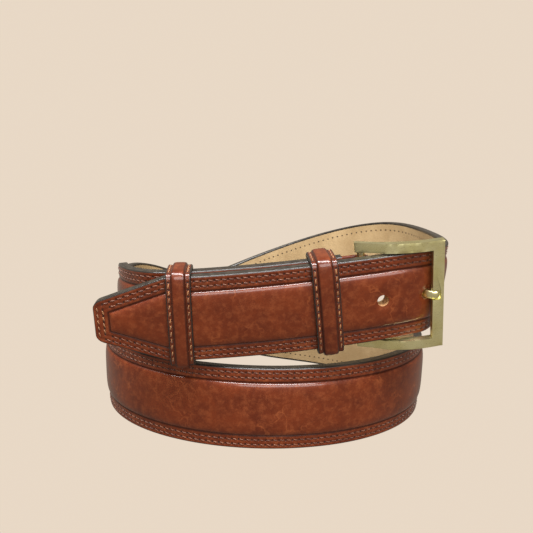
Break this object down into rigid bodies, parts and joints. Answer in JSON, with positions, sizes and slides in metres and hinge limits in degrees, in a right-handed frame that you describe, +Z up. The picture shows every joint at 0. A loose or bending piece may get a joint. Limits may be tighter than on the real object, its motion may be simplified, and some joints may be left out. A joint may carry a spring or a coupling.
{
  "type": "leather belt",
  "caption": "Padded leather dress belt with a brass pin buckle, coiled and fastened, standing on its lower edge, with a fixed and a sliding keeper loop.",
  "frame": {"origin": "on the ground under the middle of the whole coiled belt", "axes": "-Y towards the viewer who faces the buckle, +X to that viewer's right, where the buckle is, +Z up"},
  "size_m": [0.1528, 0.1162, 0.0883],
  "materials": {
    "cognac_calf": "polished calf, lightly mottled, semi-gloss",
    "tan_lining": "smooth undyed lining leather, matt",
    "split_core": "rough split leather, edges painted black-brown",
    "felt_padding": "pressed felt, hidden inside",
    "brown_thread": "waxed sewing thread, tone on tone",
    "golden_thread": "waxed sewing thread, golden brown",
    "antique_brass": "satin brushed, slightly greenish old gold"
  },
  "bodies": {
    "strap": {"strap_lining": "tan_lining", "strap_core": "split_core", "strap_padding": "felt_padding", "strap_cover": "cognac_calf", "edge_thread_upper_outer": "brown_thread", "edge_thread_upper_inner": "brown_thread", "edge_thread_lower_outer": "brown_thread", "edge_thread_lower_inner": "brown_thread", "tip_thread": "brown_thread", "buckle_chape": "cognac_calf", "chape_thread_bar": "brown_thread", "chape_thread_middle": "brown_thread", "fixed_keeper": "cognac_calf", "fixed_keeper_thread_left": "golden_thread", "fixed_keeper_thread_right": "golden_thread"},
    "buckle": {"buckle_frame": "antique_brass", "buckle_bar": "antique_brass"},
    "prong": {"prong": "antique_brass"},
    "free_keeper": {"free_keeper": "cognac_calf", "free_keeper_thread_left": "golden_thread", "free_keeper_thread_right": "golden_thread", "free_keeper_staple": "antique_brass"}
  },
  "joints": [
    {"name": "buckle_hinge", "type": "hinge", "parent": "strap", "child": "buckle", "pos_m": [0.03789, -0.04184, 0.06394], "axis": [0.095, 0.1083, -0.9896], "range_deg": [0, 2]},
    {"name": "prong_hinge", "type": "hinge", "parent": "buckle", "child": "prong", "pos_m": [0.03789, -0.04184, 0.06394], "axis": [0.095, 0.1083, -0.9896], "range_deg": [0, 2]},
    {"name": "keeper_slide", "type": "slide", "parent": "strap", "child": "free_keeper", "axis": [0.9966, 0.0532, 0.0634], "range_m": [-0.003, 0.016]}
  ]
}
